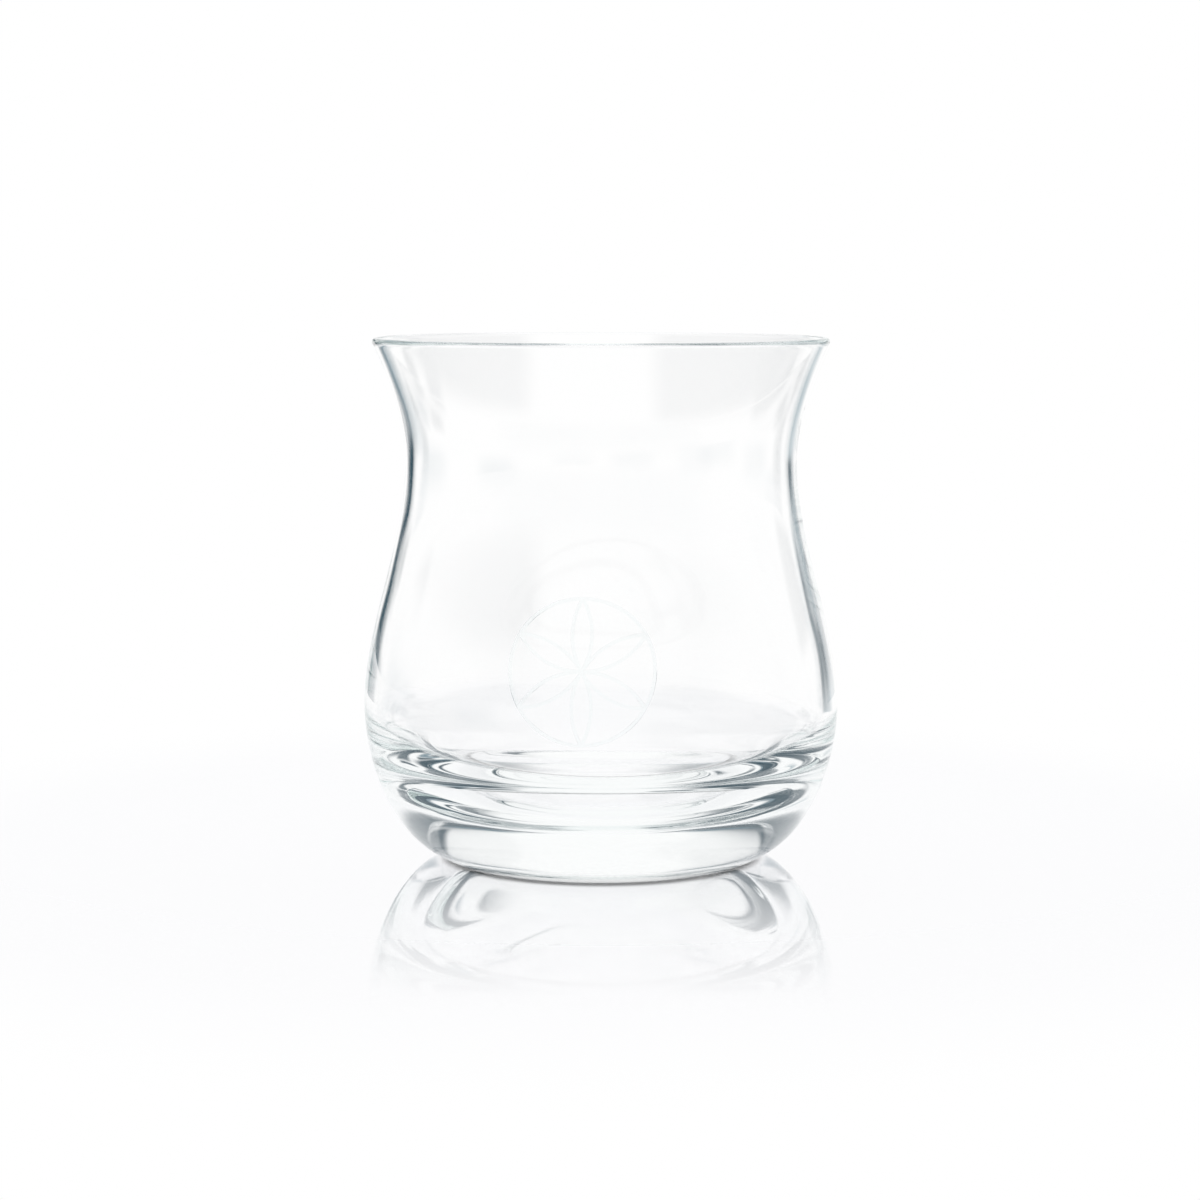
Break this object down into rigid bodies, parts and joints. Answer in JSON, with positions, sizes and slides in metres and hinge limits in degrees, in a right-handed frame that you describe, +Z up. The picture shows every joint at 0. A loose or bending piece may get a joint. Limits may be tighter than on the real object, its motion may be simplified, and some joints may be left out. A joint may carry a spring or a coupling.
{
  "type": "whisky tumbler",
  "caption": "Clear blown-glass whisky tumbler with a round bulb, drawn-in waist, flared rim and heavy base, and a fine enamel rosette on its front.",
  "frame": {"origin": "centre of the standing ring, on the plane of the table", "axes": "+Z up along the axis of the glass, -Y towards the front with its mark, +X to the right seen from the front"},
  "size_m": [0.0878, 0.0881, 0.096],
  "materials": {
    "glass": "clear polished soda-lime glass",
    "enamel": "satin fired-on enamel"
  },
  "bodies": {
    "root": {"glass_body": "glass", "front_mark": "enamel"}
  },
  "joints": []
}
